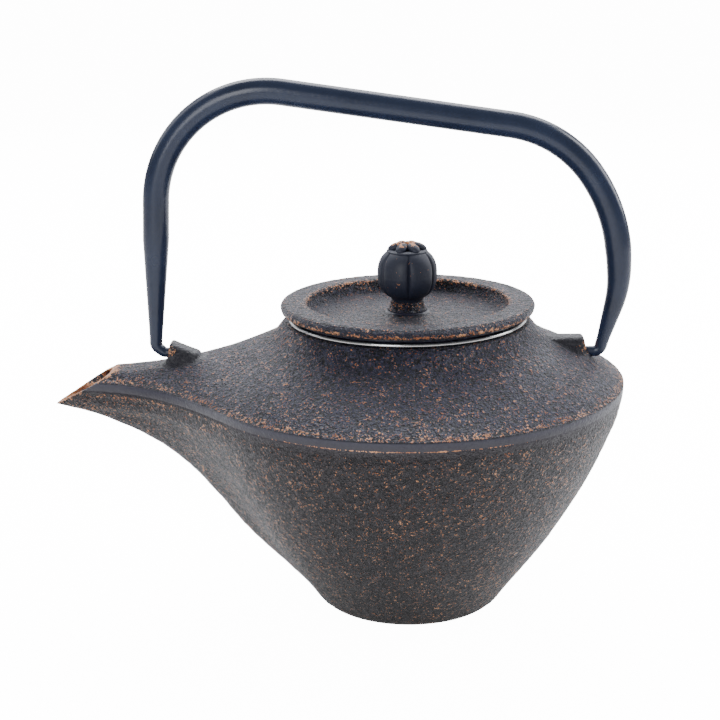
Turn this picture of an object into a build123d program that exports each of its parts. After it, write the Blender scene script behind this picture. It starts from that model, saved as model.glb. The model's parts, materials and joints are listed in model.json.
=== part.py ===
from build123d import *
from math import atan2, cos, degrees, radians, sin
import os

# A cast-iron teapot: a bowl that sharpens into a pouring beak, a domed shoulder, a dished
# lid with a melon knob, a steel tea basket and a swaged tube handle hung on two lugs.
# Origin at the middle of the foot, +Z up, beak along -X, handle pivots on the X axis.

# ---- driving dimensions, mm ----
POT_RADIUS = 77.2                # at the ridge, where the bowl meets the shoulder
RIDGE_Z = 83.3                   # upper edge of the smooth band round the widest place
BAND_Z = 76.6                    # lower edge of that band
RIM_Z = 104.4                    # land round the opening
WALL = 3.0                       # thickness of the casting
FLOOR = 4.0                      # thickness of its foot
FOOT_EDGE = 1.4                  # bevel under the foot
MOUTH_TIP = (-127.9, 73.5)       # lowest point of the mouth, x and z
MOUTH_LIP = (-110.1, 84.0)       # upper lip of the mouth, x and z
PIVOT_Z = 92.1                   # height of the handle's pivots
FRONT_FACE = -86.7               # outer faces of the two lugs at the pivots
REAR_FACE = 64.2
LUG_WIDTH = 8.6
PIN_RADIUS = 1.8
PIN_FIT = 0.08                   # running clearance round a handle pin
PIN_DEPTH = 8.0                  # of the pivot holes in the lugs
PIN_RELIEF = 0.5                 # extra room where the rear pin passes over the shoulder
BORE_RADIUS = 39.6               # opening in the pot
LID_RADIUS = 45.4
LID_TOP_Z = 111.4
LID_SEAT_Z = 106.1               # where the lid rests on the basket's flange
KNOB_Z = 121.6                   # centre of the knob
KNOB_RADIUS = 10.75
TUBE_RADIUS = 4.65               # handle tube
BASKET_DEPTH = 38.0
SHEET = 0.6                      # steel sheet of the basket
SKIRT_RADIUS = 37.7              # ring under the lid that drops into the basket
SKIRT_Z = 99.0
STUD_GRIP = 9.0                  # length of the stud inside the knob

os.makedirs("parts", exist_ok=True)


def level(z, radius, reach, turn, pull, blunt, pinch):
    """One horizontal outline of the pot: a circle that runs into a pointed beak.

    The beak's sides leave the circle `turn` degrees from -X, run on for `pull`, are drawn
    in by `pinch`, and close at x = -reach, with `blunt` saying how round the point is.
    """
    edge_x = -radius * cos(radians(turn))
    edge_y = radius * sin(radians(turn))
    run_x = edge_x - pull * sin(radians(turn))
    run_y = edge_y - pull * cos(radians(turn))
    waist_x = (run_x - reach) / 2 + pinch * 0.43
    waist_y = (run_y + blunt) / 2 - pinch
    with BuildSketch(Plane.XY.offset(z)) as outline:
        with BuildLine():
            ThreePointArc((edge_x, -edge_y), (radius, 0), (edge_x, edge_y))
            Bezier((edge_x, edge_y), (run_x, run_y), (waist_x, waist_y),
                   (-reach, blunt), (-reach, 0))
            Bezier((-reach, 0), (-reach, -blunt), (waist_x, -waist_y),
                   (run_x, -run_y), (edge_x, -edge_y))
        make_face()
    return outline.sketch


# height, radius, reach, turn, pull, blunt, pinch
FOOT = [
    (0, 32.6, 33.0, 20, 3.0, 3.0, 0),
    (FOOT_EDGE, 34.4, 35.0, 20, 3.0, 3.0, 0),
]
BOWL = [
    FOOT[-1],
    (6, 37.6, 40.0, 20, 3.5, 3.8, 0),
    (12, 42.0, 46.2, 21, 5.0, 4.5, 0),
    (25, 51.4, 59.3, 24, 8.5, 6.5, 0.5),
    (40, 60.6, 71.5, 28, 13.0, 7.5, 2.5),
    (52, 67.0, 82.9, 31, 18.5, 7.5, 5.3),
    (60, 70.6, 94.0, 34, 24.0, 6.5, 6.6),
    (66, 73.0, 106.3, 36, 29.0, 5.5, 8.6),
    (70, 74.6, 117.0, 37.5, 33.0, 5.0, 10.7),
    (73, 75.6, 128.5, 38.5, 35.5, 5.5, 12.7),
    (BAND_Z, 76.4, 136.0, 39, 37.0, 8.5, 17.0),
]
BAND = [
    BOWL[-1],
    (80.0, 77.0, 139.0, 39.3, 37.5, 14.5, 21.6),
    (RIDGE_Z, POT_RADIUS, 140.0, 39.5, 37.6, 20.0, 27.5),
]
SHOULDER = [
    BAND[-1],
    (85.2, 74.4, 130.0, 38, 33.0, 13.0, 21.0),
    (86.9, 72.0, 103.5, 35, 25.0, 9.0, 10.0),
    (88.4, 69.4, 87.5, 32, 17.0, 9.0, 4.5),
    (91.4, 63.4, 70.4, 28, 10.0, 8.0, 1.0),
    (94.5, 56.6, 60.5, 25, 7.0, 7.0, 0),
    (98.0, 50.0, 51.2, 22, 5.0, 5.0, 0),
    (RIM_Z, 43.7, 44.4, 20, 4.0, 4.0, 0),
]


def inside(levels, rise):
    """The same outlines a wall's thickness further in, moved up or down by rise."""
    return [level(z + rise, radius - WALL * 0.7, reach - WALL * 0.7, turn, pull,
                  max(blunt - WALL * 0.7, 1.5), pinch)
            for z, radius, reach, turn, pull, blunt, pinch in levels]


# ---- pot body, one casting with its beak, lugs and foot ----
with BuildPart() as pot_body:
    for run in (FOOT, BOWL, BAND, SHOULDER):
        loft(sections=[level(*step) for step in run])
    # the two lugs stand on the shoulder in line with the beak
    with BuildSketch(Plane.XZ) as lug_front:
        with BuildLine():
            front_top = Polyline((-86.6, 80), (-86.7, 95.9), (-77.5, 92.5), (-73.8, 86.5), (-70, 80))
            Line(front_top @ 1, front_top @ 0)
        make_face()
        fillet(lug_front.vertices().sort_by(Axis.Z)[-2:], 1.8)
    extrude(amount=LUG_WIDTH / 2, both=True)
    with BuildSketch(Plane.XZ) as lug_rear:
        with BuildLine():
            rear_top = Polyline((44, 84), (47.6, 97.6), (62.8, 97.5), (65.9, 83))
            Line(rear_top @ 1, rear_top @ 0)
        make_face()
        fillet(lug_rear.vertices().sort_by(Axis.X)[-2], 1.8)
    extrude(amount=LUG_WIDTH / 2, both=True)
    # the mouth is cut off on a slant
    slant = Vector(MOUTH_LIP[0] - MOUTH_TIP[0], 0, MOUTH_LIP[1] - MOUTH_TIP[1])
    mouth_plane = Plane((MOUTH_TIP[0], 0, MOUTH_TIP[1]), x_dir=slant, z_dir=(-slant.Z, 0, slant.X))
    split(bisect_by=mouth_plane, keep=Keep.BOTTOM)
    # inside of the bowl, the beak's channel and the shoulder
    loft(sections=inside([(FLOOR - 2, *BOWL[0][1:])] + BOWL[1:], 2), mode=Mode.SUBTRACT)
    loft(sections=inside([BAND[0], (RIDGE_Z - 4.6, *BAND[-1][1:])], 2), mode=Mode.SUBTRACT)
    loft(sections=inside([(RIDGE_Z, *BAND[-1][1:])] + SHOULDER[1:-1], -2.6), mode=Mode.SUBTRACT)
    with BuildSketch(Plane.XY.offset(RIM_Z - 12)):
        Circle(BORE_RADIUS)
    extrude(amount=14, mode=Mode.SUBTRACT)
    # blind pivot holes, drilled into the lugs' outer faces
    for face_x, depth in ((FRONT_FACE, PIN_DEPTH), (REAR_FACE, -PIN_DEPTH)):
        with BuildSketch(Plane.YZ.offset(face_x - depth / 4)):
            with Locations((0, PIVOT_Z)):
                Circle(PIN_RADIUS + PIN_FIT)
        extrude(amount=depth * 1.25, mode=Mode.SUBTRACT)
    with BuildSketch(Plane.YZ.offset(REAR_FACE + 1.2)):
        with Locations((0, PIVOT_Z)):
            Circle(PIN_RADIUS + PIN_RELIEF)
    extrude(amount=2.4, mode=Mode.SUBTRACT)

pot_body.part.label = "pot_body"
export_step(pot_body.part, "parts/pot_body.step")

# ---- lid: a dished casting with an undercut rim and a locating skirt ----
RIM_EDGE_Z = 107.7               # lowest point of the rim's outer side
DISH_RADIUS = 35.8
DISH_Z = 106.9
NECK_RADIUS = 6.0
NECK_FOOT_RADIUS = 9.4
NECK_Z = 111.3
STUD_RADIUS = 2.0
with BuildPart() as lid:
    with BuildSketch(Plane.XZ):
        with BuildLine():
            dish = Line((NECK_FOOT_RADIUS, DISH_Z), (DISH_RADIUS - 2.6, DISH_Z))
            side = TangentArc(dish @ 1, (DISH_RADIUS, DISH_Z + 2.6), tangent=dish % 1)
            lip = ThreePointArc(side @ 1, (DISH_RADIUS + 0.4, LID_TOP_Z - 0.4),
                                (DISH_RADIUS + 1.4, LID_TOP_Z))
            top = Line(lip @ 1, (LID_RADIUS - 1.6, LID_TOP_Z))
            rim = ThreePointArc(top @ 1, (LID_RADIUS, LID_TOP_Z - 1.7), (LID_RADIUS - 0.9, RIM_EDGE_Z))
            under = Polyline(rim @ 1, (41.2, LID_SEAT_Z), (SKIRT_RADIUS, LID_SEAT_Z),
                             (SKIRT_RADIUS, SKIRT_Z), (SKIRT_RADIUS - 2.6, SKIRT_Z),
                             (SKIRT_RADIUS - 2.6, DISH_Z - 3.4), (STUD_RADIUS + 0.2, DISH_Z - 3.4),
                             (STUD_RADIUS + 0.2, NECK_Z), (NECK_RADIUS, NECK_Z))
            neck = Line(under @ 1, (NECK_RADIUS, NECK_Z - 1.2))
            TangentArc(neck @ 1, dish @ 0, tangent=neck % 1)
        make_face()
    revolve(axis=Axis.Z)
lid.part.label = "lid"
export_step(lid.part, "parts/lid.step")

# ---- knob: a melon with six grooves under a flower of six petals and a bud ----
CROWN_Z = KNOB_Z + 8.2
PETALS = 6
PETAL_REACH = 4.1
with BuildPart() as knob:
    with BuildSketch(Plane.XZ):
        with BuildLine():
            foot = Line((0, NECK_Z), (6.6, NECK_Z))
            belly = ThreePointArc(foot @ 1, (KNOB_RADIUS, KNOB_Z), (6.9, CROWN_Z))
            Polyline(belly @ 1, (0, CROWN_Z), foot @ 0)
        make_face()
    revolve(axis=Axis.Z)
    # grooves run down the melon's sides
    with BuildSketch(Plane.XZ):
        with BuildLine():
            groove = ThreePointArc((9.0, KNOB_Z - 7.6), (KNOB_RADIUS - 0.7, KNOB_Z), (9.0, KNOB_Z + 7.2))
            ThreePointArc(groove @ 1, (KNOB_RADIUS + 2, KNOB_Z), groove @ 0)
        make_face()
    groove_cut = extrude(amount=0.6, both=True, mode=Mode.PRIVATE)
    with PolarLocations(0, PETALS, start_angle=-87):
        add(groove_cut, mode=Mode.SUBTRACT)
    # flower
    with BuildSketch(Plane.XY.offset(CROWN_Z - 0.5)):
        with PolarLocations(PETAL_REACH, PETALS, start_angle=-57):
            Ellipse(2.3, 1.7)
    extrude(amount=1.6, taper=12)
    with BuildSketch(Plane.XY.offset(CROWN_Z - 0.5)):
        Circle(2.0)
    extrude(amount=3.3, taper=14)
    # threaded hole for the stud, from below
    with BuildSketch(Plane.XY.offset(NECK_Z)):
        Circle(STUD_RADIUS)
    extrude(amount=STUD_GRIP, mode=Mode.SUBTRACT)
knob.part.label = "knob"
export_step(knob.part, "parts/knob.step")

# ---- screw and washer that hold the knob from beneath the lid ----
HEAD_Z = DISH_Z - 3.4 - 0.8
with BuildPart() as knob_screw:
    with BuildSketch(Plane.XY.offset(HEAD_Z)):
        Circle(STUD_RADIUS)
    extrude(amount=NECK_Z + STUD_GRIP - HEAD_Z)
    with BuildSketch(Plane.XZ):
        with BuildLine():
            head = Line((0, HEAD_Z), (3.8, HEAD_Z))
            dome = ThreePointArc(head @ 1, (2.6, HEAD_Z - 2.0), (0, HEAD_Z - 2.6))
            Line(dome @ 1, head @ 0)
        make_face()
    revolve(axis=Axis.Z)
    with BuildSketch(Plane.XY.offset(HEAD_Z - 2.7)):
        Rectangle(8, 1)
    extrude(amount=1.2, mode=Mode.SUBTRACT)
knob_screw.part.label = "knob_screw"
export_step(knob_screw.part, "parts/knob_screw.step")

with BuildPart() as knob_washer:
    with BuildSketch(Plane.XY.offset(HEAD_Z)):
        Circle(5.0)
        Circle(STUD_RADIUS + 0.2, mode=Mode.SUBTRACT)
    extrude(amount=0.8)
knob_washer.part.label = "knob_washer"
export_step(knob_washer.part, "parts/knob_washer.step")

# ---- tea basket: flanged collar, mesh wall and floor ----
BASKET_FLOOR_Z = RIM_Z - BASKET_DEPTH
COLLAR_RADIUS = BORE_RADIUS - 0.3
COLLAR_Z = RIM_Z - 7.0           # lower edge of the collar
FLANGE_Z = LID_SEAT_Z - 0.1      # top of its rolled flange
with BuildPart() as basket_collar:
    with BuildSketch(Plane.XZ):
        with BuildLine():
            bore = Polyline((COLLAR_RADIUS, RIM_Z + 0.1), (COLLAR_RADIUS, COLLAR_Z),
                            (COLLAR_RADIUS - SHEET, COLLAR_Z),
                            (COLLAR_RADIUS - SHEET, FLANGE_Z), (41.9, FLANGE_Z))
            bead = ThreePointArc(bore @ 1, (42.6, FLANGE_Z - 0.75), (41.9, RIM_Z + 0.1))
            Line(bead @ 1, bore @ 0)
        make_face()
    revolve(axis=Axis.Z)
basket_collar.part.label = "basket_collar"
export_step(basket_collar.part, "parts/basket_collar.step")

WALL_RADIUS = COLLAR_RADIUS - SHEET
with BuildPart() as basket_wall:
    with BuildSketch(Plane.XY.offset(BASKET_FLOOR_Z)):
        Circle(WALL_RADIUS)
        Circle(WALL_RADIUS - SHEET, mode=Mode.SUBTRACT)
    extrude(amount=BASKET_DEPTH - 2)
basket_wall.part.label = "basket_wall"
export_step(basket_wall.part, "parts/basket_wall.step")

with BuildPart() as basket_floor:
    with BuildSketch(Plane.XZ):
        with BuildLine():
            Polyline((0, BASKET_FLOOR_Z - SHEET), (WALL_RADIUS + SHEET, BASKET_FLOOR_Z - SHEET),
                     (WALL_RADIUS + SHEET, BASKET_FLOOR_Z + 3), (WALL_RADIUS, BASKET_FLOOR_Z + 3),
                     (WALL_RADIUS, BASKET_FLOOR_Z), (0, BASKET_FLOOR_Z),
                     (0, BASKET_FLOOR_Z - SHEET))
        make_face()
    revolve(axis=Axis.Z)
basket_floor.part.label = "basket_floor"
export_step(basket_floor.part, "parts/basket_floor.step")

# ---- handle: one tube, arched higher over the beak, with swaged ends bent into pins ----
HOOK_RADIUS = 2.3
HOOK_BEND = 2.6
END_PLAY = 0.6                   # between a pin's end and the bottom of its hole
LEG_FOOT = Vector(-90.85, 0, 97.6)  # where the front leg's taper ends
LEG_LENGTH = 50.0
SWAGE_LENGTH = 36.0              # tapered stretch of the front leg
leg_rise = Vector(2.45, 0, 51.8).normalized()
HOOK_SLOPE_TURN = 52.7           # how far the front hook first turns in, degrees
HOOK_TURN = 90 + degrees(atan2(leg_rise.X, leg_rise.Z))  # from the leg to the pin
# bend radius and turn in degrees, in order from the front leg to the rear lug
KNEE = (39.7, -95.8)
BEND = (42.2, -46)
DROP = (56.5, -28.5)
SWAY = (84, -6.5)
TURN_IN = (42, -16)
BAR_LENGTH = 80.1                  # straight grip between the knee and the bend
REAR_SWAGE_LENGTH = 12.2


def tube(path, start_radius, end_radius):
    """A round bar along path that changes evenly from one radius to the other."""
    with BuildSketch(Plane(path @ 0, z_dir=path % 0)) as first:
        Circle(start_radius)
    with BuildSketch(Plane(path @ 1, z_dir=path % 1)) as last:
        Circle(end_radius)
    sweep(sections=[first.sketch, last.sketch], path=path, multisection=True)


with BuildPart() as handle:
    with BuildLine(Plane.XZ) as arch:
        leg = Line(LEG_FOOT + leg_rise * SWAGE_LENGTH, LEG_FOOT + leg_rise * LEG_LENGTH)
        knee = JernArc(leg @ 1, leg % 1, *KNEE)
        bar = Line(knee @ 1, knee @ 1 + (knee % 1) * BAR_LENGTH)
        bend = JernArc(bar @ 1, bar % 1, *BEND)
        drop = JernArc(bend @ 1, bend % 1, *DROP)
    tube(arch.wire(), TUBE_RADIUS, TUBE_RADIUS)
    with BuildLine(Plane.XZ) as front_swage:
        Line(leg @ 0, LEG_FOOT)
    tube(front_swage.wire(), TUBE_RADIUS, HOOK_RADIUS)
    with BuildLine(Plane.XZ) as rear_swage:
        sway = JernArc(drop @ 1, drop % 1, *SWAY)
        turn_in = JernArc(sway @ 1, sway % 1, *TURN_IN)
        Line(turn_in @ 1, turn_in @ 1 + (turn_in % 1) * REAR_SWAGE_LENGTH)
    tube(rear_swage.wire(), TUBE_RADIUS, HOOK_RADIUS)
    with BuildLine(Plane.XZ) as front_hook:
        down = Line(LEG_FOOT, LEG_FOOT - leg_rise * 1.8)
        inward = JernArc(down @ 1, down % 1, HOOK_BEND, HOOK_SLOPE_TURN)
        slope = inward % 1
        drop_left = (inward @ 1).Z - PIVOT_Z - HOOK_BEND * (1 - slope.X)
        ramp = Line(inward @ 1, inward @ 1 - slope * (drop_left / slope.Z))
        level_out = JernArc(ramp @ 1, slope, HOOK_BEND, HOOK_TURN - HOOK_SLOPE_TURN)
        Line(level_out @ 1, (FRONT_FACE - 0.2, PIVOT_Z))
    tube(front_hook.wire(), HOOK_RADIUS, PIN_RADIUS)
    rear_end = rear_swage.wire() @ 1
    with BuildLine(Plane.XZ) as rear_hook:
        fall = rear_swage.wire() % 1
        corner = rear_end + fall * ((PIVOT_Z - rear_end.Z) / fall.Z)
        FilletPolyline(rear_end, corner, (REAR_FACE + 0.2, PIVOT_Z), radius=HOOK_BEND)
    tube(rear_hook.wire(), HOOK_RADIUS, PIN_RADIUS)
    for start, length in ((FRONT_FACE - 0.2, PIN_DEPTH + 0.2 - END_PLAY),
                          (REAR_FACE + 0.2, END_PLAY - 0.2 - PIN_DEPTH)):
        with BuildSketch(Plane.YZ.offset(start)):
            with Locations((0, PIVOT_Z)):
                Circle(PIN_RADIUS)
        extrude(amount=length)
handle.part.label = "handle"
export_step(handle.part, "parts/handle.step")
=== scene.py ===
import json
import math
import bpy
import bmesh
from mathutils import Matrix, Vector


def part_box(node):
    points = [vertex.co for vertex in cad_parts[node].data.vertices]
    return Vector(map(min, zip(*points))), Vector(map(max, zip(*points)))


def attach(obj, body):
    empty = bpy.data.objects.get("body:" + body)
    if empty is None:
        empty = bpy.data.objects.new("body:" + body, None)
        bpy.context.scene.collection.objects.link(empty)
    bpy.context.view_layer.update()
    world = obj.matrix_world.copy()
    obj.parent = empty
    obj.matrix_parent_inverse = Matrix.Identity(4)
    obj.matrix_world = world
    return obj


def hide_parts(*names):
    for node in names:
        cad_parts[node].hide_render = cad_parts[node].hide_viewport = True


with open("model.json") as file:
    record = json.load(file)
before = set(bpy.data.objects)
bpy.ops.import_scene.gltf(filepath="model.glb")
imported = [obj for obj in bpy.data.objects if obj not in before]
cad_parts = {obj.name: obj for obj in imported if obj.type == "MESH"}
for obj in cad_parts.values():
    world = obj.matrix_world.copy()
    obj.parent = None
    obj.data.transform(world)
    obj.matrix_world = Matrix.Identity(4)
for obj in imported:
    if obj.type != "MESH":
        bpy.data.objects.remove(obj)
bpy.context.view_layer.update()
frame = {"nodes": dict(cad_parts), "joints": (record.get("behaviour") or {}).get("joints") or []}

# A cast-iron teapot: dark lacquer over rough castings, rubbed back to copper on the high
# points, with a stainless tea basket and a satin tube handle. Metres, +Z up, beak along -X.

MM = 0.001

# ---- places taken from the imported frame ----
POT_HIGH = Vector(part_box("pot_body")[1])
LID_LOW, LID_HIGH = (Vector(corner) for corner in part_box("lid"))
KNOB_HIGH = Vector(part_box("knob")[1])
COLLAR_LOW, COLLAR_HIGH = (Vector(corner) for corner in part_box("basket_collar"))
MESH_HIGH = Vector(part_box("basket_wall")[1])
TRAY_LOW, TRAY_HIGH = (Vector(corner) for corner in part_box("basket_floor"))
SWING = next(joint for joint in frame["joints"] if joint["name"] == "handle_swing")
PIVOT_Z = SWING["pos_m"][2]

# ---- the pot's outline, in millimetres ----
RIDGE_Z = 83.3                   # upper edge of the smooth band
BAND_Z = 76.6                    # its lower edge
CREASE_Z = 80.0                  # crease between its two faces
RIM_Z = POT_HIGH.z / MM
WALL = 3.0
THICK_X = -94                    # the wall starts to thin here, and is thin 14 mm further on
THINNING = 14
FLOOR_Z = 4.0
BORE_RADIUS = 39.6
MOUTH_TIP = Vector((-127.9, 0, 73.5))
MOUTH_LIP = Vector((-110.1, 0, 84.0))
MOUTH_SLOPE = (MOUTH_LIP - MOUTH_TIP).normalized()
MOUTH_OUTWARD = Vector((-MOUTH_SLOPE.z, 0, MOUTH_SLOPE.x))
BEAK_X = -60                     # the beak's sides begin about here
# Outlines of the pot at several heights: a circle of `radius` that leaves off `turn` degrees
# from the beak, runs on straight for `pull`, is drawn in by `pinch`, and closes at `reach`
# with a tip as round as `blunt`.
# height, radius, reach, turn, pull, blunt, pinch
LEVELS = [
    (0, 32.6, 33.0, 20, 3.0, 3.0, 0),
    (1.4, 34.4, 35.0, 20, 3.0, 3.0, 0),
    (6, 37.6, 40.0, 20, 3.5, 3.8, 0),
    (12, 42.0, 46.2, 21, 5.0, 4.5, 0),
    (25, 51.4, 59.3, 24, 8.5, 6.5, 0.5),
    (40, 60.6, 71.5, 28, 13.0, 7.5, 2.5),
    (52, 67.0, 82.9, 31, 18.5, 7.5, 5.3),
    (60, 70.6, 94.0, 34, 24.0, 6.5, 6.6),
    (66, 73.0, 106.3, 36, 29.0, 5.5, 8.6),
    (70, 74.6, 117.0, 37.5, 33.0, 5.0, 10.7),
    (73, 75.6, 128.5, 38.5, 35.5, 5.5, 12.7),
    (76.6, 76.4, 136.0, 39, 37.0, 8.5, 17.0),
    (80.0, 77.0, 139.0, 39.3, 37.5, 14.5, 21.6),
    (83.3, 77.2, 140.0, 39.5, 37.6, 20.0, 27.5),
    (85.2, 74.4, 130.0, 38, 33.0, 13.0, 21.0),
    (86.9, 72.0, 103.5, 35, 25.0, 9.0, 10.0),
    (88.4, 69.4, 87.5, 32, 17.0, 9.0, 4.5),
    (91.4, 63.4, 70.4, 28, 10.0, 8.0, 1.0),
    (94.5, 56.6, 60.5, 25, 7.0, 7.0, 0),
    (98.0, 50.0, 51.2, 22, 5.0, 5.0, 0),
    (RIM_Z, 43.7, 44.4, 20, 4.0, 4.0, 0),
]
CORNERS = (1.4, 76.6, 83.3)      # heights where the outline turns sharply


# ---- small helpers ----
def linear(hex_code):
    """sRGB hex to the linear colour that a shader socket takes."""
    channels = [int(hex_code[i:i + 2], 16) / 255 for i in (1, 3, 5)]
    return [c / 12.92 if c <= 0.04045 else ((c + 0.055) / 1.055) ** 2.4 for c in channels] + [1.0]


def clear_selection():
    if bpy.context.object and bpy.context.object.mode != "OBJECT":
        bpy.ops.object.mode_set(mode="OBJECT")
    bpy.ops.object.select_all(action="DESELECT")


def mesh_piece(name, points, faces):
    mesh = bpy.data.meshes.new(name)
    mesh.from_pydata([Vector(p) * MM for p in points], [], faces)
    piece = bpy.data.objects.new(name, mesh)
    bpy.context.scene.collection.objects.link(piece)
    return piece


def make_active(piece):
    clear_selection()
    piece.select_set(True)
    bpy.context.view_layer.objects.active = piece


def place_in_mesh(piece):
    make_active(piece)
    bpy.ops.object.transform_apply(location=True, rotation=True, scale=True)


def face_outward(piece, merge=0.00002):
    make_active(piece)
    bpy.ops.object.mode_set(mode="EDIT")
    bpy.ops.mesh.select_all(action="SELECT")
    bpy.ops.mesh.remove_doubles(threshold=merge)
    bpy.ops.mesh.normals_make_consistent(inside=False)
    bpy.ops.object.mode_set(mode="OBJECT")


def shade(piece, angle=35):
    make_active(piece)
    bpy.ops.object.shade_smooth_by_angle(angle=math.radians(angle))


def finish(piece, body, material, slot, *replaced):
    piece.data.materials.clear()
    piece.data.materials.append(material)
    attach(piece, body)
    if replaced:
        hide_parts(*replaced)
    return piece


# ---- materials ----
def add(tree, kind, links=None, **settings):
    """Adds a node, sets its properties, and links or sets its inputs."""
    item = tree.nodes.new(kind)
    for key, value in settings.items():
        if hasattr(item, key):
            setattr(item, key, value)
        else:
            item.inputs[key.replace("_", " ")].default_value = value
    for socket, source in (links or {}).items():
        if isinstance(source, (int, float, list)):
            item.inputs[socket].default_value = source
        else:
            tree.links.new(source, item.inputs[socket])
    return item


def blank_material(name):
    material = bpy.data.materials.new(name)
    material.use_nodes = True
    material.node_tree.nodes.clear()
    return material, material.node_tree


def rubbed_iron(name, upper_tone_and_sheen_hex, lower_hex, pit_shade_hex, rubbed):
    """Sand-cast iron, dark lacquer sprayed on and rubbed back: the eye gets a leathery grain
    about 0.8 mm across, darkened in its pits by painted shade, with dots and curls of
    copper-coloured wax on its tops. The mesh's `wear` attribute rubs edges further and `smooth` calms
    the fettled bands.
    The shoulder is bluer than the bowl, partly as a painted cool sheen. `rubbed` widens the copper all
    over."""
    material, tree = blank_material(name)
    place = add(tree, "ShaderNodeTexCoord").outputs["Object"]
    wear = add(tree, "ShaderNodeAttribute", attribute_name="wear").outputs["Fac"]
    smooth = add(tree, "ShaderNodeAttribute", attribute_name="smooth").outputs["Fac"]

    # wrinkles: a place moved about by up to 1.1 mm makes round grains curl into one another
    stir = add(tree, "ShaderNodeTexNoise", {"Vector": place}, Scale=0.8 / MM, Detail=1.0)
    stir = add(tree, "ShaderNodeVectorMath", {0: stir.outputs["Color"], 1: [0.5, 0.5, 0.5]},
               operation="SUBTRACT")
    stir = add(tree, "ShaderNodeVectorMath", {0: stir.outputs["Vector"], "Scale": 2.2 * MM},
               operation="SCALE")
    stirred = add(tree, "ShaderNodeVectorMath", {0: place, 1: stir.outputs["Vector"]},
                  operation="ADD").outputs["Vector"]

    # height: 1.25 grains to the millimetre, each with a height of its own, under finer grit
    # and over broad swells 3 mm across
    grain = add(tree, "ShaderNodeTexVoronoi", {"Vector": stirred}, feature="SMOOTH_F1",
                Scale=1.25 / MM, Smoothness=0.5)
    own = add(tree, "ShaderNodeSeparateColor", {"Color": grain.outputs["Color"]}).outputs["Red"]
    grit = add(tree, "ShaderNodeTexNoise", {"Vector": place}, Scale=2.1 / MM, Detail=2.0)
    swell = add(tree, "ShaderNodeTexNoise", {"Vector": place}, Scale=0.33 / MM, Detail=1.0)
    height = add(tree, "ShaderNodeMath", {0: 1.0, 1: grain.outputs["Distance"]},
                 operation="SUBTRACT").outputs[0]
    for layer, share in ((own, 0.45), (grit.outputs["Fac"], 0.25), (swell.outputs["Fac"], 0.5)):
        height = add(tree, "ShaderNodeMath", {0: layer, 1: share, 2: height},
                     operation="MULTIPLY_ADD").outputs[0]

    # rubbing reaches the tops first, a little unevenly, in patches a few centimetres across
    patch = add(tree, "ShaderNodeTexNoise", {"Vector": place}, Scale=0.034 / MM, Detail=2.0)
    patch = add(tree, "ShaderNodeMapRange", {"Value": patch.outputs["Fac"]}, From_Min=0.3,
                From_Max=0.7, To_Min=-0.05, To_Max=0.05)
    lift = add(tree, "ShaderNodeMath", {0: height, 1: patch.outputs["Result"]},
               operation="ADD").outputs[0]
    for layer, share in ((wear, 0.42), (smooth, -0.6)):
        lift = add(tree, "ShaderNodeMath", {0: layer, 1: share, 2: lift},
                   operation="MULTIPLY_ADD").outputs[0]
    bare = add(tree, "ShaderNodeMapRange", {"Value": lift}, From_Min=1.45 - rubbed,
               From_Max=1.51 - rubbed, interpolation_type="SMOOTHSTEP").outputs["Result"]

    # lacquer: one colour over the shoulder, bluer partly as a painted cool sheen, and one over the
    # bowl; painted shade darkens it down in the pits, and the fettled bands take a fixed 40 % of that
    # dark colour
    height_z = add(tree, "ShaderNodeSeparateXYZ", {"Vector": place}).outputs["Z"]
    upper = add(tree, "ShaderNodeMapRange", {"Value": height_z}, From_Min=(CREASE_Z - 1) * MM,
                From_Max=(RIDGE_Z + 1) * MM).outputs["Result"]
    lacquer = add(tree, "ShaderNodeMix", {"Factor": upper, 6: linear(lower_hex),
                                          7: linear(upper_tone_and_sheen_hex)}, data_type="RGBA").outputs[2]
    out_of_pit = add(tree, "ShaderNodeMapRange", {"Value": height}, From_Min=0.85,
                     From_Max=1.2).outputs["Result"]
    rough = add(tree, "ShaderNodeMath", {0: 1.0, 1: smooth}, operation="SUBTRACT").outputs[0]
    out_of_pit = add(tree, "ShaderNodeMath", {0: out_of_pit, 1: rough},
                     operation="MULTIPLY").outputs[0]
    out_of_pit = add(tree, "ShaderNodeMath", {0: smooth, 1: 0.6, 2: out_of_pit},
                     operation="MULTIPLY_ADD").outputs[0]
    # painted shade: the pit colour darkens the lacquer wherever out_of_pit is low
    lacquer = add(tree, "ShaderNodeMix", {"Factor": out_of_pit, 6: linear(pit_shade_hex), 7: lacquer},
                  data_type="RGBA").outputs[2]

    # copper wax, in two tones
    tint = add(tree, "ShaderNodeTexNoise", {"Vector": place}, Scale=0.15 / MM, Detail=1.0)
    tint = add(tree, "ShaderNodeMapRange", {"Value": tint.outputs["Fac"]}, From_Min=0.35,
               From_Max=0.62).outputs["Result"]
    copper = add(tree, "ShaderNodeMix", {"Factor": tint, 6: linear("#b4714a"),
                                         7: linear("#f0ae7e")}, data_type="RGBA").outputs[2]
    colour = add(tree, "ShaderNodeMix", {"Factor": bare, 6: lacquer, 7: copper},
                 data_type="RGBA").outputs[2]
    metal = add(tree, "ShaderNodeMath", {0: bare, 1: 0.25}, operation="MULTIPLY").outputs[0]
    gloss = add(tree, "ShaderNodeMapRange", {"Value": height}, From_Min=0.8, From_Max=1.3,
                To_Min=0.5, To_Max=0.3).outputs["Result"]

    # relief, nearly gone where the casting was fettled smooth
    relief = add(tree, "ShaderNodeMath", {0: smooth, 1: -0.93, 2: 1.0},
                 operation="MULTIPLY_ADD").outputs[0]
    relief = add(tree, "ShaderNodeMath", {0: height, 1: relief}, operation="MULTIPLY").outputs[0]
    bump = add(tree, "ShaderNodeBump", {"Height": relief}, Strength=1.0, Distance=1.5 * MM)
    shader = add(tree, "ShaderNodeBsdfPrincipled",
                 {"Base Color": colour, "Roughness": gloss, "Metallic": metal,
                  "Normal": bump.outputs["Normal"], "Specular IOR Level": 0.6})
    add(tree, "ShaderNodeOutputMaterial", {"Surface": shader.outputs["BSDF"]})
    return material


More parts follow.
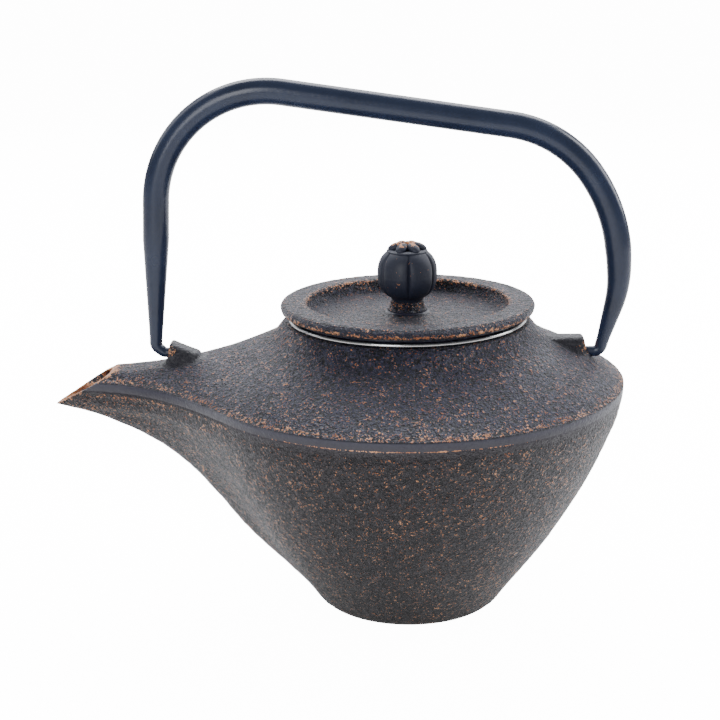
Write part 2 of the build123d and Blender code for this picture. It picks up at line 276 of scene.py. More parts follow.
def lacquered_steel(name, base_hex, roughness, speckle):
    """Steel tube or smooth casting with satin lacquer: an even blue-black, faint orange peel
    about 2 mm across, slightly uneven gloss, and `speckle` more or less copper showing."""
    material, tree = blank_material(name)
    place = add(tree, "ShaderNodeTexCoord").outputs["Object"]
    wear = add(tree, "ShaderNodeAttribute", attribute_name="wear").outputs["Fac"]
    peel = add(tree, "ShaderNodeTexNoise", {"Vector": place}, Scale=0.48 / MM, Detail=2.0)
    drift = add(tree, "ShaderNodeTexNoise", {"Vector": place}, Scale=0.06 / MM,
                Detail=2.0).outputs["Fac"]
    fleck = add(tree, "ShaderNodeTexNoise", {"Vector": place}, Scale=0.7 / MM, Detail=2.0,
                Distortion=0.8).outputs["Fac"]
    lift = add(tree, "ShaderNodeMath", {0: wear, 1: 0.36, 2: fleck}, operation="MULTIPLY_ADD")
    bare = add(tree, "ShaderNodeMapRange", {"Value": lift.outputs[0]}, From_Min=0.74 - speckle,
               From_Max=0.79 - speckle).outputs["Result"]
    tone = add(tree, "ShaderNodeValToRGB", {"Fac": drift})
    for stop, position, strength in zip(tone.color_ramp.elements, (0.3, 0.7), (0.82, 1.2)):
        stop.position = position
        stop.color = [min(1.0, c * strength) for c in linear(base_hex)[:3]] + [1.0]
    colour = add(tree, "ShaderNodeMix", {"Factor": bare, 6: tone.outputs["Color"],
                                         7: linear("#c98a5e")}, data_type="RGBA").outputs[2]
    gloss = add(tree, "ShaderNodeMapRange", {"Value": drift}, From_Min=0.3, From_Max=0.7,
                To_Min=roughness - 0.04, To_Max=roughness + 0.04).outputs["Result"]
    bump = add(tree, "ShaderNodeBump", {"Height": peel.outputs["Fac"]}, Strength=0.35,
               Distance=0.12 * MM)
    shader = add(tree, "ShaderNodeBsdfPrincipled",
                 {"Base Color": colour, "Roughness": gloss, "Normal": bump.outputs["Normal"]})
    add(tree, "ShaderNodeOutputMaterial", {"Surface": shader.outputs["BSDF"]})
    return material


def stainless(name, roughness):
    """Stainless steel sheet or wire: bright grey metal with fine working marks."""
    material, tree = blank_material(name)
    place = add(tree, "ShaderNodeTexCoord").outputs["Object"]
    marks = add(tree, "ShaderNodeTexNoise", {"Vector": place}, Scale=0.9 / MM,
                Detail=3.0).outputs["Fac"]
    gloss = add(tree, "ShaderNodeMapRange", {"Value": marks}, From_Min=0.3, From_Max=0.7,
                To_Min=roughness - 0.05, To_Max=roughness + 0.06).outputs["Result"]
    bump = add(tree, "ShaderNodeBump", {"Height": marks}, Strength=0.15, Distance=0.05 * MM)
    shader = add(tree, "ShaderNodeBsdfPrincipled",
                 {"Base Color": linear("#c9c9c6"), "Roughness": gloss,
                  "Normal": bump.outputs["Normal"]}, Metallic=1.0)
    add(tree, "ShaderNodeOutputMaterial", {"Surface": shader.outputs["BSDF"]})
    return material


# the last colour of each rubbed iron is painted shade for its pits; the pot's bluer first colour is
# partly a painted cool sheen on the shoulder
POT_IRON = rubbed_iron("sand-cast iron, rubbed lacquer", "#393b53", "#3b363a", "#0f0e12", 0.02)
# the lugs get a darker copy of the pot's iron: painted shade on faces that turn away from the light
# above
SHADED_LUG_IRON = rubbed_iron("fettled cast iron, lacquer left on", "#24242f", "#24242f", "#0f0e12", 0.02)
LID_IRON = rubbed_iron("cast iron lid, rubbed lacquer", "#36384c", "#36384c", "#111116", -0.01)
KNOB_IRON = lacquered_steel("smooth cast iron, satin lacquer", "#222737", 0.55, 0.03)
HANDLE_STEEL = lacquered_steel("swaged steel tube, satin lacquer", "#222c42", 0.25, -0.4)
SHEET_STEEL = stainless("pressed stainless sheet", 0.2)
WIRE_STEEL = stainless("woven stainless wire", 0.3)
FIXING_STEEL = stainless("turned stainless fixing", 0.3)


# ---- the pot: rows of points on its outline, swept up the outside and down the inside ----
def settings_at(z, levels):
    """The outline's settings at height z, by a smooth curve through the levels that does
    not round off the listed corners."""
    heights = [row[0] for row in levels]
    i = max(1, next((k for k, h in enumerate(heights) if h >= z - 1e-6), len(heights) - 1))
    z0, z1 = heights[i - 1], heights[i]
    t = (z - z0) / (z1 - z0)

    def slope(k, column, side):
        here = levels[k]
        if 0 < k < len(levels) - 1 and here[0] not in CORNERS:
            before, after = levels[k - 1], levels[k + 1]
            step_a, step_b = here[0] - before[0], after[0] - here[0]
            rise_a = (here[column] - before[column]) / step_a
            rise_b = (after[column] - here[column]) / step_b
            return (rise_a * step_b + rise_b * step_a) / (step_a + step_b)
        other = levels[k + side]
        return (other[column] - here[column]) / (other[0] - here[0])

    values = []
    for column in range(1, 7):
        a, b = levels[i - 1][column], levels[i][column]
        m0 = slope(i - 1, column, 1) * (z1 - z0)
        m1 = slope(i, column, -1) * (z1 - z0)
        values.append((2 * t**3 - 3 * t**2 + 1) * a + (t**3 - 2 * t**2 + t) * m0
                      + (3 * t**2 - 2 * t**3) * b + (t**3 - t**2) * m1)
    return values


ARC_STEPS, FLANK_STEPS = 140, 84  # points along half the circle and along one side of the beak
# rows of points up the outside: from, to and spacing, closest where the band and ridge turn
OUTSIDE = ((0, 1.4, 0.7), (1.4, 58, 1.25), (58, 72, 0.62), (72, BAND_Z, 0.46), (BAND_Z, CREASE_Z, 0.6),
           (CREASE_Z, RIDGE_Z, 0.55), (RIDGE_Z, 89.5, 0.38), (89.5, RIM_Z, 0.85))
# rows down the inside, named by the outer row that each one follows
UNDER_SHOULDER = (98.0, 94.5, 91.4, 89.5, 88.4, 87.4, 86.4, 85.4, 84.4, RIDGE_Z)
IN_BOWL = (76.6, 75, 73.5, 72, 70.5, 69, 67, 65, 62, 58, 52, 46, 40, 32, 25, 18, 12, 6, 3)


def outline(z, inset=0.0, rise=0.0):
    """Points round the pot at height z, from the back round by +Y to the beak and back."""
    radius, reach, turn, pull, blunt, pinch = settings_at(z, LEVELS)
    radius, reach = radius - inset, reach - inset
    blunt = max(blunt - inset, 1.5) if inset else blunt
    turn = math.radians(turn)
    edge = Vector((-radius * math.cos(turn), radius * math.sin(turn)))
    run = edge + pull * Vector((-math.sin(turn), -math.cos(turn)))
    waist = Vector(((run.x - reach) / 2 + pinch * 0.43, (run.y + blunt) / 2 - pinch))
    control = (edge, run, waist, Vector((-reach, blunt)), Vector((-reach, 0)))
    weights = (1, 4, 6, 4, 1)
    half = [(radius * math.cos(a), radius * math.sin(a))
            for a in ((math.pi - turn) * k / ARC_STEPS for k in range(ARC_STEPS))]
    for k in range(FLANK_STEPS + 1):
        t = k / FLANK_STEPS
        point = sum((w * (1 - t)**(4 - n) * t**n * c
                     for n, (w, c) in enumerate(zip(weights, control))), Vector((0, 0)))
        half.append((point.x, point.y))
    ring = half + [(x, -y) for x, y in reversed(half[1:-1])]
    return [(x, y, z + rise) for x, y in ring]


def steps(low, high, size):
    """Even steps of about `size` from low up to, and without, high."""
    count = max(1, round((high - low) / size))
    return [low + (high - low) * k / count for k in range(count)]


def inner_row(z, rise):
    """A row inside the wall, moved up by `rise`; the wall thins towards the mouth."""
    row = []
    for thick, thin in zip(outline(z, WALL * 0.7, rise), outline(z, WALL * 0.3, rise * 0.45)):
        share = min(1.0, max(0.0, (THICK_X - thick[0]) / THINNING))
        share = share * share * (3 - 2 * share)
        row.append(tuple(Vector(thick).lerp(Vector(thin), share)))
    return row


def joined(rows):
    """Faces between each row of points and the next, closed round."""
    count = len(rows[0])
    return [(r * count + c, r * count + (c + 1) % count,
             (r + 1) * count + (c + 1) % count, (r + 1) * count + c)
            for r in range(len(rows) - 1) for c in range(count)]


def pot_casting():
    """Bowl, beak, shoulder and rim in one skin, outside and inside, with a flat floor."""
    rows = [outline(z) for low, high, size in OUTSIDE for z in steps(low, high, size)]
    rows.append(outline(RIM_Z))
    outer_rows = len(rows)
    count = len(rows[0])
    # the arc columns are uneven in angle, so the rim's rows keep the outline's own angles
    angles = [math.atan2(y, x) for x, y, z in rows[-1]]
    rim = ((42.8, 0), (41.4, 0), (BORE_RADIUS + 0.4, 0), (BORE_RADIUS, 0.5), (BORE_RADIUS, 5.5))
    rows += [[(radius * math.cos(a), radius * math.sin(a), RIM_Z - drop) for a in angles]
             for radius, drop in rim]
    rows += [inner_row(z, -2.6) for z in UNDER_SHOULDER] + [inner_row(z, 2.0) for z in IN_BOWL]
    rows.append([(x * 0.97, y * 0.97, FLOOR_Z) for x, y, z in rows[-1]])
    points = [p for row in rows for p in row] + [(0, 0, 0), (0, 0, FLOOR_Z)]
    faces = joined(rows)
    # closed with a fan under the foot and one on the floor inside
    last = (len(rows) - 1) * count
    for c in range(count):
        n = (c + 1) % count
        faces.append((len(points) - 2, n, c))
        faces.append((len(points) - 1, last + c, last + n))
    piece = mesh_piece("pot_casting", points, faces)
    inner = piece.data.attributes.new("inside", "FLOAT", "POINT")
    for k in range(outer_rows * count, len(points)):
        inner.data[k].value = 1.0
    face_outward(piece, 0.00004)
    # the mouth is cut on a slant and its wall closed between the outer and inner edges
    make_active(piece)
    bpy.ops.object.mode_set(mode="EDIT")
    bpy.ops.mesh.select_all(action="SELECT")
    bpy.ops.mesh.bisect(plane_co=MOUTH_TIP * MM, plane_no=MOUTH_OUTWARD, clear_outer=True,
                        clear_inner=False)
    bpy.ops.mesh.bridge_edge_loops()
    bpy.ops.object.mode_set(mode="OBJECT")
    return piece


def mark(piece, name, value_at):
    """Writes value_at(point in mm) on each vertex as a named attribute."""
    layer = piece.data.attributes.new(name, "FLOAT", "POINT")
    for vertex in piece.data.vertices:
        layer.data[vertex.index].value = value_at(vertex.co / MM)


def pot_smooth(p):
    """1 on the fettled band between the crease and the ridge, on the bore and on the rim's
    inner edge; below the crease it fades out, sooner on the beak."""
    if math.hypot(p.x, p.y) < BORE_RADIUS + 0.5 and p.z > 90:
        return 1.0
    if p.x <= MOUTH_TIP.x + 0.9:
        return 0.0
    if CREASE_Z - 0.1 < p.z < RIDGE_Z - 0.1:
        return 1.0
    foot = CREASE_Z - 1.2 if p.x < BEAK_X else BAND_Z
    return max(0.0, (p.z - foot) / (CREASE_Z - foot)) if foot < p.z < CREASE_Z else 0.0


def pot_wear(p):
    """How far an edge is rubbed to copper: the ridge, the crease in the band's front half, the
    foot of the beak's band and the mouth's lip."""
    above = 0.62 * max(0.0, 1 - abs(p.z - RIDGE_Z - 0.45) / 1.3) if p.z >= RIDGE_Z - 0.05 else 0.0
    front = math.exp(-((p.x + 8) / 62)**2)
    crease = 2.7 * front if abs(p.z - CREASE_Z) < 0.25 and p.x > BEAK_X - 2 else 0.0
    under = 0.55 * max(0.0, 1 - abs(p.z - CREASE_Z + 1.8) / 1.4) if p.x <= BEAK_X + 2 else 0.0
    lip = 1.6 * max(0.0, 1 + (p - MOUTH_TIP).dot(MOUTH_OUTWARD) / 0.4)
    return max(above, crease, under, lip)


def mark_finish(piece, smooth_at, wear_at):
    """Writes the two attributes that the iron and lacquer materials read."""
    mark(piece, "smooth", smooth_at)
    mark(piece, "wear", wear_at)


def roughen(piece, depth, size, keep=None):
    """Pushes the skin in and out a little with a cloud pattern `size` mm across."""
    cloud = bpy.data.textures.new(piece.name + " cloud", "CLOUDS")
    cloud.noise_scale = size * MM
    cloud.noise_depth = 2
    layer = piece.modifiers.new("rough cast", "DISPLACE")
    layer.texture = cloud
    layer.texture_coords = "LOCAL"
    layer.strength = depth * MM
    layer.mid_level = 0.8
    if keep:
        group = piece.vertex_groups.new(name="rough")
        for vertex in piece.data.vertices:
            group.add([vertex.index], keep(vertex.co / MM), "REPLACE")
        layer.vertex_group = "rough"
    make_active(piece)
    bpy.ops.object.modifier_apply(modifier=layer.name)


LUG_CORNER = 1.9                 # rounding of a lug's upright edges
LUG_BROW = 1.2                   # rounding round its top
CROWN = 1.1                      # how much lower its top is at the sides


def lug(name, pot_piece, low_x, high_x, top_at, outer_x, half, fillet):
    """A lug that grows out of the shoulder with a cast fillet. top_at gives its top's height
    at x; its outer face at outer_x leans in as it rises."""
    middle_x = (low_x + high_x) / 2

    def footprint(grow):
        """Points round a rounded rectangle, anticlockwise, `grow` mm outside the lug: nine
        on each corner and eight more along each side."""
        corner = max(0.2, LUG_CORNER + grow)
        corners = []
        for sx, sy, start in ((1, 1, 0), (-1, 1, 90), (-1, -1, 180), (1, -1, 270)):
            centre_x = middle_x + sx * ((high_x - low_x) / 2 + grow - corner)
            centre_y = sy * (half + grow - corner)
            for k in range(9):
                a = math.radians(start + 90 * k / 8)
                corners.append((centre_x + corner * math.cos(a), centre_y + corner * math.sin(a)))
        points = []
        for k, (x, y) in enumerate(corners):
            next_x, next_y = corners[(k + 1) % len(corners)]
            count = 9 if k % 9 == 8 else 1
            points += [(x + (next_x - x) * n / count, y + (next_y - y) * n / count)
                       for n in range(count)]
        return points

    def ground(x, y):
        """Height of the shoulder under a point."""
        above = Vector((x, y, RIM_Z + 15)) * MM
        hit, place = pot_piece.ray_cast(above, Vector((0, 0, -1)))[:2]
        return place.z / MM if hit else BAND_Z

    def top_z(x, y):
        """The top is crowned across its width, and never sinks far under the shoulder."""
        crowned = top_at(x) - CROWN * (1 - math.sqrt(max(0.0, 1 - (y / half)**2)))
        return max(crowned, ground(x, y) - 0.3)

    wall = footprint(0)
    base = [ground(x, y) for x, y in wall]
    tops = [top_z(x, y) for x, y in wall]
    # how far the fillet may reach where the lug runs out into the shoulder
    reach = [min(1.0, max(0.0, (top - low) / 4)) for top, low in zip(tops, base)]
    rows = []
    for k in range(9):               # up the fillet
        a = math.radians(90 * k / 8)
        rows.append([(x, y, ground(x, y) - 0.15 + fillet * share * (1 - math.cos(a)))
                     for (x, y), share in zip(footprint(fillet * (1 - math.sin(a))), reach)])
    for k in range(1, 6):            # up the side
        rows.append([(x, y, z + (max(top - LUG_BROW, z) - z) * k / 5)
                     for (x, y, z), top in zip(rows[8], tops)])
    for k in range(1, 6):            # round the brow
        a = math.radians(90 * k / 5)
        row = []
        for (x, y), share in zip(footprint(-LUG_BROW * (1 - math.cos(a))), reach):
            drop = LUG_BROW * share * (1 - math.sin(a))
            row.append((x, y, max(top_z(x, y) - drop, ground(x, y) - 0.3)))
        rows.append(row)
    brow = rows[-1]
    for k in range(1, 5):            # in across the top
        row = [(middle_x + (x - middle_x) * (1 - k / 5), y * (1 - k / 5)) for x, y, z in brow]
        rows.append([(x, y, top_z(x, y)) for x, y in row])
    points = []
    for x, y, z in (point for row in rows for point in row):
        nearness = max(0.0, 1 - abs(x - outer_x) / 8)
        lean = math.copysign(0.22, outer_x) * max(0.0, z - 91) * nearness
        points.append((x - lean, y, z))
    count = len(wall)
    last = (len(rows) - 1) * count
    faces = joined(rows) + [(last + c, last + (c + 1) % count, len(points)) for c in range(count)]
    points.append((middle_x, 0, top_z(middle_x, 0)))
    piece = mesh_piece(name, points, faces)
    face_outward(piece)
    return piece


def front_top(x):
    return 96.7 - (x + 86.7) * 0.37


def rear_top(x):
    return 98.1


def pot_rough(p):
    """Where the cast skin is uneven: not on fettled bands, rubbed edges and the foot's rim."""
    return 0.0 if pot_smooth(p) > 0.3 or pot_wear(p) > 0.6 or p.z < 0.5 else 1.0


def bare_channel(piece):
    """The channel behind the mouth is copper-coloured all over."""
    inside, wear = (piece.data.attributes[name].data for name in ("inside", "wear"))
    for vertex in piece.data.vertices:
        if vertex.co.x < -90 * MM and inside[vertex.index].value > 0.5:
            wear[vertex.index].value = 1.7


def corner_wear(x, z):
    """Copper within 4.5 mm of the line across a lug at x and z, strongest on the line."""
    return lambda p: 2.6 * max(0.0, 1 - (Vector((x, p.y, z)) - p).length / 4.5)


pot = pot_casting()
FRONT_FACE, REAR_FACE, LUG_HALF = -86.7, 64.4, 4.2
front_lug = lug("front_lug", pot, FRONT_FACE, -75.2, front_top, FRONT_FACE, LUG_HALF, 3.4)
rear_lug = lug("rear_lug", pot, 46.0, REAR_FACE, rear_top, REAR_FACE, LUG_HALF, 3.0)
roughen(pot, 0.35, 2.2, pot_rough)
mark_finish(pot, pot_smooth, pot_wear)
bare_channel(pot)
finish(pot, "pot", POT_IRON, "pot_iron", "pot_body")
shade(pot, 40)
for piece, wear_at in ((front_lug, corner_wear(-86.0, 93.5)), (rear_lug, corner_wear(63.6, 94.5))):
    mark_finish(piece, lambda p: 0.8, wear_at)
    finish(piece, "pot", SHADED_LUG_IRON, "pot_iron", "pot_body")
    shade(piece, 50)


# ---- turned pieces ----
def arc(centre, radius, start, end, count):
    """Points (r, z) on an arc, angles in degrees from the r axis."""
    return [(centre[0] + radius * math.cos(math.radians(start + (end - start) * k / count)),
             centre[1] + radius * math.sin(math.radians(start + (end - start) * k / count)))
            for k in range(count + 1)]


def refine(profile, size):
    """The same profile with no step longer than size."""
    fine = [profile[0]]
    for (r0, z0), (r1, z1) in zip(profile, profile[1:]):
        count = max(1, math.ceil(math.hypot(r1 - r0, z1 - z0) / size))
        fine += [(r0 + (r1 - r0) * k / count, z0 + (z1 - z0) * k / count)
                 for k in range(1, count + 1)]
    return fine


def turned(name, profile, count, size=1.2):
    """A closed profile of (radius, height) points in mm, spun round the pot's axis."""
    profile = refine(profile, size)
    mesh = bpy.data.meshes.new(name)
    mesh.from_pydata([(r * MM, 0, z * MM) for r, z in profile],
                     [(k, k + 1) for k in range(len(profile) - 1)], [])
    piece = bpy.data.objects.new(name, mesh)
    bpy.context.scene.collection.objects.link(piece)
    make_active(piece)
    bpy.ops.object.mode_set(mode="EDIT")
    bpy.ops.mesh.select_all(action="SELECT")
    bpy.ops.mesh.spin(steps=count, angle=math.tau, center=(0, 0, 0), axis=(0, 0, 1))
    bpy.ops.object.mode_set(mode="OBJECT")
    face_outward(piece)
    return piece


# ---- lid ----
LID_R, LID_TOP = 45.4, LID_HIGH.z / MM
LID_EDGE = 107.7                 # lowest point of the rim's side
LID_SEAT = COLLAR_HIGH.z / MM + 0.1
DISH_R, DISH_Z = 35.8, 106.9
LID_UNDER = DISH_Z - 3.4
NECK_R, NECK_Z = 6.0, 111.3
STUD_HOLE_R = 2.2
SKIRT_R, SKIRT_Z, SKIRT_WALL = 37.7, LID_LOW.z / MM, 2.6


def lid_casting():
    """A dish with a rounded rim, a neck for the knob and a skirt that drops into the basket."""
    profile = [(STUD_HOLE_R, LID_UNDER), (STUD_HOLE_R, NECK_Z), (NECK_R - 0.5, NECK_Z)]
    profile += arc((NECK_R - 0.5, NECK_Z - 0.5), 0.5, 90, 0, 3)
    profile += arc((NECK_R + 3.4, DISH_Z + 3.4), 3.4, 180, 270, 9)
    profile += arc((DISH_R - 3.0, DISH_Z + 3.0), 3.0, 270, 360, 8)
    profile += arc((DISH_R + 1.2, LID_TOP - 1.2), 1.2, 180, 90, 5)
    profile += arc((LID_R - 1.9, LID_TOP - 1.9), 1.9, 90, 10, 7)
    profile += arc((LID_R - 1.55, LID_EDGE + 1.3), 1.3, -8, -62, 5)
    profile += [(41.2, LID_SEAT), (SKIRT_R, LID_SEAT), (SKIRT_R, SKIRT_Z),
                (SKIRT_R - SKIRT_WALL, SKIRT_Z), (SKIRT_R - SKIRT_WALL, LID_UNDER),
                (STUD_HOLE_R, LID_UNDER)]
    return turned("lid_casting", profile, 240)


# edges rubbed to copper: radius, height, reach, strength
LID_EDGES = ((LID_R - 0.4, LID_TOP - 0.6, 1.4, 0.6), (LID_R - 0.3, LID_EDGE + 0.9, 2.1, 1.7),
             (DISH_R + 0.4, LID_TOP - 0.5, 1.9, 0.85), (NECK_R + 0.3, NECK_Z - 1.5, 2.4, 0.5))


def lid_wear(p):
    r = math.hypot(p.x, p.y)
    return max(strength * max(0.0, 1 - math.hypot(r - edge_r, p.z - edge_z) / reach)
               for edge_r, edge_z, reach, strength in LID_EDGES)


def lid_smooth(p):
    """Half calm on the rim's side, smooth underneath and round the neck's foot."""
    r = math.hypot(p.x, p.y)
    if r > LID_R - 0.75:
        return 0.45
    return 1.0 if p.z < LID_EDGE and r < 44 and not 8 < r < DISH_R else 0.0


lid = lid_casting()
roughen(lid, 0.3, 2.2, lambda p: 0.2 if lid_smooth(p) else 1.0)
mark_finish(lid, lid_smooth, lid_wear)
finish(lid, "lid", LID_IRON, "lid_iron", "lid")
shade(lid, 40)

# ---- knob ----
KNOB_R, KNOB_HALF, KNOB_Z = 10.75, 9.7, 121.0
SQUARENESS = 2.4                 # 2 is an ellipse, more is squarer
FOOT_R = 5.6                     # the ball stops here and a short stem goes on down
GROOVES, GROOVE_TURN = 6, math.radians(-87)
CROWN_Z = 129.8


def knob_casting():
    """A squared-off ball, its outline a superellipse, with six grooves and a parting line."""
    profile = [(2.0, NECK_Z + 8), (2.0, NECK_Z), (FOOT_R - 0.2, NECK_Z)]
    for k in range(1, 48):
        t = -1 + 2 * k / 52
        r = KNOB_R * (1 - abs(t)**SQUARENESS)**(1 / SQUARENESS)
        if r > FOOT_R:
            profile.append((r, KNOB_Z + KNOB_HALF * t))
    profile += [(7.3, CROWN_Z - 0.6), (6.6, CROWN_Z - 0.2), (0.0, CROWN_Z - 0.1)]
    piece = turned("knob_casting", profile, 216, 0.5)
    for vertex in piece.data.vertices:
        p = vertex.co / MM
        r = math.hypot(p.x, p.y)
        if r < FOOT_R or p.z > CROWN_Z - 0.7:
            continue
        turn = (math.atan2(p.y, p.x) - GROOVE_TURN) / math.tau * GROOVES
        off = abs(turn - round(turn)) / GROOVES * math.tau * KNOB_R
        # grooves die out towards the top and the foot; the lobes between them swell a little
        span = max(0.0, 1 - ((p.z - KNOB_Z) / 8.2)**2)
        groove = 0.95 * math.exp(-(off / 0.5)**2) * span**0.5
        valley = 0.45 * math.exp(-(off / 1.8)**2) * span
        seam = 0.06 * math.exp(-((p.z - KNOB_Z + 0.8) / 0.35)**2) * min(1.0, off / 2)
        vertex.co.x *= (r - 0.1 - groove - valley + seam) / r
        vertex.co.y *= (r - 0.1 - groove - valley + seam) / r
    return piece


PETAL = (3.0, 1.95, 1.45)        # half length, width and height
PETAL_RING_R = 4.1
BUD = (1.5, 1.5, 2.0)


def ball(size, place, turn=(0, 0, 0)):
    bpy.ops.mesh.primitive_uv_sphere_add(segments=24, ring_count=14, radius=1)
    piece = bpy.context.object
    piece.scale = Vector(size) * MM
    piece.rotation_euler = turn
    piece.location = Vector(place) * MM
    return piece


def petal_ring():
    """Six petals, each a ball flattened, drawn out and tipped down, round a bud."""
    petals = []
    for k in range(GROOVES):
        turn = GROOVE_TURN + math.tau * (k + 0.5) / GROOVES
        place = (PETAL_RING_R * math.cos(turn), PETAL_RING_R * math.sin(turn), CROWN_Z + 0.7)
        petals.append(ball(PETAL, place, (0, math.radians(20), turn)))
    petals.append(ball(BUD, (0, 0, KNOB_HIGH.z / MM - 2.05)))
    clear_selection()
    for petal in petals:
        petal.select_set(True)
    bpy.context.view_layer.objects.active = petals[0]
    bpy.ops.object.join()
    flower = bpy.context.object
    flower.name = "knob_flower"
    place_in_mesh(flower)
    return flower


knob = knob_casting()
flower = petal_ring()
for piece, wear_at in ((knob, lambda p: 0.0),
                       (flower, lambda p: min(0.75, 0.6 * max(0.0, p.z - CROWN_Z - 0.9)))):
    mark_finish(piece, lambda p: 1.0, wear_at)
    finish(piece, "lid", KNOB_IRON, "knob_iron", "knob")
    shade(piece, 50)

# ---- tea basket ----
COLLAR_R, BEAD_R, BEAD, SHEET = 39.3, 42.6, 0.72, 0.6


def basket_rim():
    """A sheet collar whose top turns out and rolls into a bead that rests on the pot."""
    low, high = COLLAR_LOW.z / MM, COLLAR_HIGH.z / MM
    profile = [(COLLAR_R - SHEET, low), (COLLAR_R - SHEET, high - 0.5)]
    profile += arc((COLLAR_R, high - 0.5), 0.5, 180, 90, 4)
    profile += arc((BEAD_R - BEAD, high - BEAD), BEAD, 90, -90, 10)
    profile += [(COLLAR_R, RIM_Z + 0.1), (COLLAR_R, low), (COLLAR_R - SHEET, low)]
    return turned("basket_rim", profile, 192, 2.0)


def woven_wall(radius, low, high, pitch, wire):
    """A cylinder of square cells, each edge of which becomes a wire; coarser than the real
    cloth so that it shows."""
    around = round(math.tau * radius / pitch)
    bpy.ops.mesh.primitive_cylinder_add(vertices=around, radius=radius * MM,
                                        depth=(high - low) * MM, end_fill_type="NOTHING",
                                        location=(0, 0, (low + high) / 2 * MM))
    piece = bpy.context.object
    piece.name = "basket_mesh"
    place_in_mesh(piece)
    work = bmesh.new()
    work.from_mesh(piece.data)
    upright = [e for e in work.edges if abs(e.verts[0].co.z - e.verts[1].co.z) > MM]
    bmesh.ops.subdivide_edges(work, edges=upright, cuts=round((high - low) / pitch) - 1)
    work.to_mesh(piece.data)
    work.free()
    wires = piece.modifiers.new("wires", "WIREFRAME")
    wires.thickness = wire * MM
    wires.use_even_offset = False
    make_active(piece)
    bpy.ops.object.modifier_apply(modifier="wires")
    return piece


def basket_tray():
    """A pressed cup that closes the foot of the wire wall."""
    low, high, radius, corner = TRAY_LOW.z / MM, TRAY_HIGH.z / MM, TRAY_HIGH.x / MM, 0.9
    profile = [(0, low), (radius - corner, low)]
    profile += arc((radius - corner, low + corner), corner, -90, 0, 4)
    profile += [(radius, high), (radius - SHEET, high), (radius - SHEET, low + SHEET + 0.5),
                (radius - SHEET - 0.5, low + SHEET), (0, low + SHEET)]
    return turned("basket_tray", profile, 160, 3.0)


collar = basket_rim()
finish(collar, "basket", SHEET_STEEL, "basket_steel", "basket_collar")
shade(collar, 50)
basket_mesh = woven_wall(MESH_HIGH.x / MM - 0.35, TRAY_LOW.z / MM + 0.7, MESH_HIGH.z / MM, 1.4, 0.5)
finish(basket_mesh, "basket", WIRE_STEEL, "basket_mesh", "basket_wall")
tray = basket_tray()
finish(tray, "basket", SHEET_STEEL, "basket_steel", "basket_floor")
shade(tray, 40)

# ---- handle: a ring of points extruded along straight runs and turned round bends ----
TUBE_R, HOOK_R, PIN_R = 4.65, 2.3, 1.8
FRONT_PIN_END = -78.97           # inner end of the front pin
# From the front pin to the rear pin: length or bend radius, turn in degrees (0 is straight),
# the tube's radius at the end of it, and the steps that it is made in.
HANDLE_RUN = (
    (8.2, 0, PIN_R, 1), (2.6, 40, 1.95, 6), (1.52, 0, 2.05, 1), (2.6, 52.7, HOOK_R, 8),
    (1.8, 0, HOOK_R, 1), (36, 0, TUBE_R, 8), (14, 0, TUBE_R, 2),
    (39.7, 95.8, TUBE_R, 40),
    (79.9, 0, TUBE_R, 4),
    (42.2, 46, TUBE_R, 20), (56.5, 28.5, TUBE_R, 12), (84, 6.5, 4.24, 3), (42, 16, 3.44, 6),
    (12.2, 0, HOOK_R, 3), (3.34, 0, 2.2, 1), (2.6, 74.5, 1.9, 8), (9.9, 0, PIN_R, 2),
)


def handle_tube():
    """Starts at the front pin's inner end, going towards -X, and bends clockwise."""
    place = Vector((FRONT_PIN_END, 0, PIVOT_Z / MM))
    heading = math.pi
    radius = PIN_R
    bpy.ops.mesh.primitive_circle_add(vertices=40, radius=radius * MM, fill_type="NOTHING",
                                      location=place * MM, rotation=(0, math.radians(90), 0))
    piece = bpy.context.object
    piece.name = "handle_tube"
    place_in_mesh(piece)
    bpy.ops.object.mode_set(mode="EDIT")
    bpy.ops.mesh.select_all(action="SELECT")
    bpy.ops.mesh.edge_face_add()
    for size, turn, end_radius, count in HANDLE_RUN:
        first_radius = radius
        sweep = math.radians(turn / count)
        for k in range(1, count + 1):
            way = Vector((math.cos(heading), 0, math.sin(heading)))
            if turn == 0:
                step = way * (size / count)
                bpy.ops.mesh.extrude_region_move(TRANSFORM_OT_translate={"value": step * MM})
                place = place + step
            else:
                pivot = place + Vector((way.z, 0, -way.x)) * size
                bpy.ops.mesh.extrude_region_move()
                # with no window, transform.rotate turns the other way
                bpy.ops.transform.rotate(value=-sweep, orient_axis="Y", center_override=pivot * MM)
                place = pivot + Matrix.Rotation(sweep, 3, "Y") @ (place - pivot)
                heading -= sweep
            target = first_radius + (end_radius - first_radius) * k / count
            if abs(target - radius) > 1e-6:
                bpy.ops.transform.resize(value=(target / radius,) * 3, center_override=place * MM)
                radius = target
    bpy.ops.object.mode_set(mode="OBJECT")
    return piece


handle = handle_tube()
face_outward(handle)
mark_finish(handle, lambda p: 1.0, lambda p: 0.0)
finish(handle, "handle", HANDLE_STEEL, "handle_steel", "handle")
shade(handle, 40)

# ---- the fixings under the lid keep their CAD shape ----
for node_name in ("knob_screw", "knob_washer"):
    fixing = frame["nodes"][node_name]
    fixing.data.materials.clear()
    fixing.data.materials.append(FIXING_STEEL)

# ---- floor, light and camera ----
clear_selection()
bpy.ops.mesh.primitive_plane_add(size=24, location=(0, 0, -0.0002))
floor = bpy.context.object
floor.name = "floor"
SEEN_GLOW, MIRRORED_GLOW = 14.0, 0.28
floor_paint, board = blank_material("matt white board, lit through")
rays = add(board, "ShaderNodeLightPath").outputs
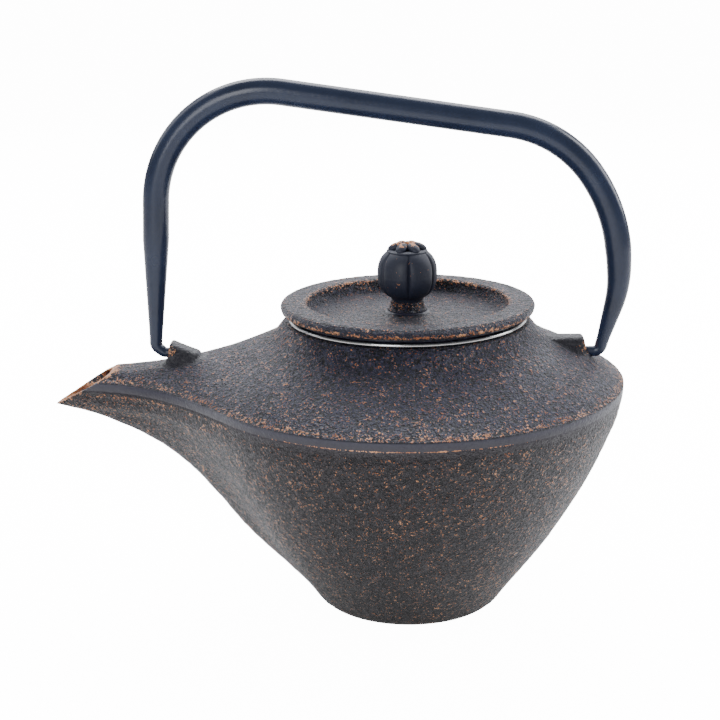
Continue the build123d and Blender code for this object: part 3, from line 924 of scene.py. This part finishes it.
# the board glows for the eye and a little in reflections, so that it looks white without
# throwing light up at the pot
mirrored = add(board, "ShaderNodeMath", {0: rays["Is Glossy Ray"], 1: MIRRORED_GLOW},
               operation="MULTIPLY").outputs[0]
glow = add(board, "ShaderNodeMath", {0: rays["Is Camera Ray"], 1: SEEN_GLOW, 2: mirrored},
           operation="MULTIPLY_ADD").outputs[0]
paint = add(board, "ShaderNodeBsdfPrincipled", {"Base Color": linear("#f6f6f6"), "Roughness": 0.9,
                                                "Emission Color": [1.0, 1.0, 1.0, 1.0],
                                                "Emission Strength": glow})
add(board, "ShaderNodeOutputMaterial", {"Surface": paint.outputs["BSDF"]})
floor.data.materials.append(floor_paint)

DAYLIGHT = (0.95, 0.96, 1.0)
world = bpy.data.worlds.new("studio")
world.use_nodes = True
sky = world.node_tree.nodes["Background"]
sky.inputs["Color"].default_value = DAYLIGHT + (1.0,)
sky.inputs["Strength"].default_value = 0.32
bpy.context.scene.world = world

AIM = Vector((0, 0, 0.08))


def softbox(name, place, size, power, aim=AIM):
    """An area light, size in metres and power in watts, turned to face aim."""
    light = bpy.data.lights.new(name, "AREA")
    light.shape = "RECTANGLE"
    light.size, light.size_y = size
    light.energy = power
    light.color = DAYLIGHT
    lamp = bpy.data.objects.new(name, light)
    lamp.location = place
    lamp.rotation_euler = (aim - Vector(place)).to_track_quat("-Z", "Y").to_euler()
    bpy.context.scene.collection.objects.link(lamp)


softbox("left softbox", (-0.9, 0.35, 0.8), (0.5, 0.9), 3.0)
softbox("right softbox", (0.95, 0.3, 0.65), (0.5, 0.9), 9.5)
softbox("top softbox", (0.0, 0.6, 0.95), (1.2, 0.6), 15)
softbox("front softbox", (-0.4, -1.1, 0.5), (0.5, 0.7), 6.5)
softbox("white wall behind", (0.0, 1.4, 0.55), (2.6, 0.6), 11, Vector((0, 0, 0.1)))

# The camera stands 0.54 m from its target, 15.4 degrees above level.
DISTANCE = 541.7 * MM
ELEVATION = math.radians(15.43)
ROLL = math.radians(-0.75)
YAW = math.radians(2.0)
TARGET = Vector((-17.2, 0, 89.1)) * MM
LENS, FILM = 75, 36              # millimetres
forward = Vector((0, math.cos(ELEVATION), -math.sin(ELEVATION)))
right = Vector((1, 0, 0))
up = right.cross(forward)
side = right * math.cos(ROLL) + up * math.sin(ROLL)
head = up * math.cos(ROLL) - right * math.sin(ROLL)
facing = Matrix((side, head, -forward)).transposed()
around = Matrix.Rotation(YAW, 3, "Z")
camera = bpy.data.objects.new("camera", bpy.data.cameras.new("camera"))
camera.data.lens = LENS
camera.data.sensor_width = FILM
camera.data.clip_start = 0.01
stand = Matrix.Translation(around @ (TARGET - DISTANCE * forward))
camera.matrix_world = stand @ (around @ facing).to_4x4()
bpy.context.scene.collection.objects.link(camera)
bpy.context.scene.camera = camera
